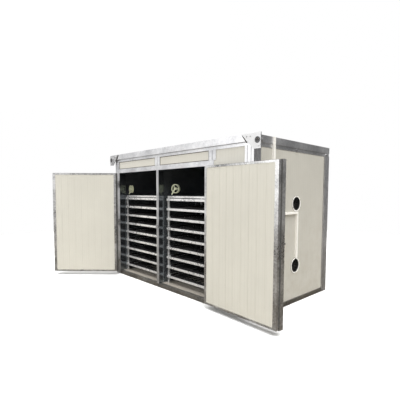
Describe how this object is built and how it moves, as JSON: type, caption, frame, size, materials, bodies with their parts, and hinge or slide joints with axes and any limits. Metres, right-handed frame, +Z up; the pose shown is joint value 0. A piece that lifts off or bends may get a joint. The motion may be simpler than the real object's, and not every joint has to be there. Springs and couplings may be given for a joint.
{
  "type": "egg incubator",
  "caption": "Walk-in egg incubator: insulated panel cabinet with hinged doors, racks of sliding egg trays, circulating fans and side vents.",
  "frame": {"origin": "middle of the cabinet's footprint, on the floor that it stands on", "axes": "+X towards the plenum bay's side wall, to the right as seen from the front; -Y out of the doors; +Z up"},
  "size_m": [4.3797, 2.7958, 2.2],
  "materials": {
    "black_plastic": "matte",
    "dark_lining": "gloss",
    "display_glass": "gloss",
    "door_skin": "satin",
    "fan_enamel": "gloss",
    "fascia_enamel": "satin",
    "floor_sheet": "satin",
    "galvanised": "satin",
    "heater_steel": "satin",
    "latch_chrome": "polished",
    "pan_steel": "satin",
    "panel_skin": "satin",
    "seal_rubber": "matte",
    "tray_plastic": "satin",
    "trunk_plastic": "matte",
    "vent_plastic": "satin"
  },
  "bodies": {
    "cabinet": {"base_frame": "galvanised", "cable_trunking": "trunk_plastic", "control_bay_panel": "panel_skin", "control_fascia": "fascia_enamel", "corner_posts": "galvanised", "display_window": "display_glass", "door_surround": "galvanised", "fan_feet": "galvanised", "floor_panels": "floor_sheet", "frieze_panels": "panel_skin", "heater_bank": "heater_steel", "hinge_plates": "galvanised", "humidifier_pan": "pan_steel", "latch_keepers": "latch_chrome", "lifting_ears": "galvanised", "partitions": "dark_lining", "rack_left": "galvanised", "rack_right": "galvanised", "rear_panels": "panel_skin", "roof_frame": "galvanised", "roof_panels": "panel_skin", "side_panel_left": "panel_skin", "side_panel_right": "panel_skin", "temperature_probes": "heater_steel", "vent_motors": "black_plastic", "vent_sleeves": "vent_plastic"},
    "door_left": {"door_left_panel": "door_skin", "door_left_frame": "galvanised", "door_left_seal": "seal_rubber"},
    "door_right": {"door_right_panel": "door_skin", "door_right_frame": "galvanised", "door_right_seal": "seal_rubber"},
    "door_left_lever": {"door_left_latch": "latch_chrome"},
    "door_right_lever": {"door_right_latch": "latch_chrome"},
    "tray_left_1_body": {"tray_left_1": "tray_plastic"},
    "tray_left_2_body": {"tray_left_2": "tray_plastic"},
    "tray_left_3_body": {"tray_left_3": "tray_plastic"},
    "tray_left_4_body": {"tray_left_4": "tray_plastic"},
    "tray_left_5_body": {"tray_left_5": "tray_plastic"},
    "tray_left_6_body": {"tray_left_6": "tray_plastic"},
    "tray_left_7_body": {"tray_left_7": "tray_plastic"},
    "tray_left_8_body": {"tray_left_8": "tray_plastic"},
    "tray_right_1_body": {"tray_right_1": "tray_plastic"},
    "tray_right_2_body": {"tray_right_2": "tray_plastic"},
    "tray_right_3_body": {"tray_right_3": "tray_plastic"},
    "tray_right_4_body": {"tray_right_4": "tray_plastic"},
    "tray_right_5_body": {"tray_right_5": "tray_plastic"},
    "tray_right_6_body": {"tray_right_6": "tray_plastic"},
    "tray_right_7_body": {"tray_right_7": "tray_plastic"},
    "tray_right_8_body": {"tray_right_8": "tray_plastic"},
    "fan_left": {"fan_left_shell": "fan_enamel"},
    "fan_left_blades": {"fan_left_rotor": "fan_enamel"},
    "fan_right": {"fan_right_shell": "fan_enamel"},
    "fan_right_blades": {"fan_right_rotor": "fan_enamel"},
    "vent_upper_blades": {"vent_rotor_upper": "black_plastic"},
    "vent_lower_blades": {"vent_rotor_lower": "black_plastic"},
    "switch_knob": {"main_switch": "black_plastic"}
  },
  "joints": [
    {"name": "door_left_hinge", "type": "hinge", "parent": "cabinet", "child": "door_left", "pos_m": [-1.486, -0.937, 0.965], "axis": [0, 0, -1], "range_deg": [-133, 42]},
    {"name": "door_right_hinge", "type": "hinge", "parent": "cabinet", "child": "door_right", "pos_m": [0.917, -0.937, 0.965], "axis": [0, 0, 1], "range_deg": [-177.5, 0.5]},
    {"name": "door_left_latch_turn", "type": "hinge", "parent": "door_left", "child": "door_left_lever", "pos_m": [-2.25675, -1.78112, 0.98], "axis": [-0.7314, 0.682, 0], "range_deg": [0, 90]},
    {"name": "door_right_latch_turn", "type": "hinge", "parent": "door_right", "child": "door_right_lever", "pos_m": [2.05839, -0.99885, 0.98], "axis": [-0.0436, -0.999, 0], "range_deg": [0, 90]},
    {"name": "tray_left_1_slide", "type": "slide", "parent": "cabinet", "child": "tray_left_1_body", "axis": [0, -1, 0], "range_m": [0, 1.1]},
    {"name": "tray_left_2_slide", "type": "slide", "parent": "cabinet", "child": "tray_left_2_body", "axis": [0, -1, 0], "range_m": [0, 1.1]},
    {"name": "tray_left_3_slide", "type": "slide", "parent": "cabinet", "child": "tray_left_3_body", "axis": [0, -1, 0], "range_m": [0, 1.1]},
    {"name": "tray_left_4_slide", "type": "slide", "parent": "cabinet", "child": "tray_left_4_body", "axis": [0, -1, 0], "range_m": [0, 1.1]},
    {"name": "tray_left_5_slide", "type": "slide", "parent": "cabinet", "child": "tray_left_5_body", "axis": [0, -1, 0], "range_m": [0, 1.1]},
    {"name": "tray_left_6_slide", "type": "slide", "parent": "cabinet", "child": "tray_left_6_body", "axis": [0, -1, 0], "range_m": [0, 1.1]},
    {"name": "tray_left_7_slide", "type": "slide", "parent": "cabinet", "child": "tray_left_7_body", "axis": [0, -1, 0], "range_m": [0, 1.1]},
    {"name": "tray_left_8_slide", "type": "slide", "parent": "cabinet", "child": "tray_left_8_body", "axis": [0, -1, 0], "range_m": [0, 1.1]},
    {"name": "tray_right_1_slide", "type": "slide", "parent": "cabinet", "child": "tray_right_1_body", "axis": [0, -1, 0], "range_m": [0, 1.1]},
    {"name": "tray_right_2_slide", "type": "slide", "parent": "cabinet", "child": "tray_right_2_body", "axis": [0, -1, 0], "range_m": [0, 1.1]},
    {"name": "tray_right_3_slide", "type": "slide", "parent": "cabinet", "child": "tray_right_3_body", "axis": [0, -1, 0], "range_m": [0, 1.1]},
    {"name": "tray_right_4_slide", "type": "slide", "parent": "cabinet", "child": "tray_right_4_body", "axis": [0, -1, 0], "range_m": [0, 1.1]},
    {"name": "tray_right_5_slide", "type": "slide", "parent": "cabinet", "child": "tray_right_5_body", "axis": [0, -1, 0], "range_m": [0, 1.1]},
    {"name": "tray_right_6_slide", "type": "slide", "parent": "cabinet", "child": "tray_right_6_body", "axis": [0, -1, 0], "range_m": [0, 1.1]},
    {"name": "tray_right_7_slide", "type": "slide", "parent": "cabinet", "child": "tray_right_7_body", "axis": [0, -1, 0], "range_m": [0, 1.1]},
    {"name": "tray_right_8_slide", "type": "slide", "parent": "cabinet", "child": "tray_right_8_body", "axis": [0, -1, 0], "range_m": [0, 1.1]},
    {"name": "fan_left_swivel", "type": "hinge", "parent": "cabinet", "child": "fan_left", "pos_m": [-1.403, -0.765, 1.577], "axis": [0, 0, 1], "range_deg": [-8, 30]},
    {"name": "fan_left_spin", "type": "hinge", "parent": "fan_left", "child": "fan_left_blades", "pos_m": [-1.34007, -0.75991, 1.577], "axis": [0.1908, 0.9816, 0], "continuous": true},
    {"name": "fan_right_swivel", "type": "hinge", "parent": "cabinet", "child": "fan_right", "pos_m": [-0.118, -0.765, 1.577], "axis": [0, 0, 1], "range_deg": [-30, 30]},
    {"name": "fan_right_spin", "type": "hinge", "parent": "fan_right", "child": "fan_right_blades", "pos_m": [-0.06483, -0.73097, 1.577], "axis": [-0.2924, 0.9563, 0], "continuous": true},
    {"name": "vent_upper_spin", "type": "hinge", "parent": "cabinet", "child": "vent_upper_blades", "pos_m": [1.598, 0.032, 1.372], "axis": [1, 0, 0], "continuous": true},
    {"name": "vent_lower_spin", "type": "hinge", "parent": "cabinet", "child": "vent_lower_blades", "pos_m": [1.598, 0.032, 0.522], "axis": [1, 0, 0], "continuous": true},
    {"name": "main_switch_turn", "type": "hinge", "parent": "cabinet", "child": "switch_knob", "pos_m": [1.218, -0.925, 1.32], "axis": [0, -1, 0], "range_deg": [-90, 0]}
  ]
}
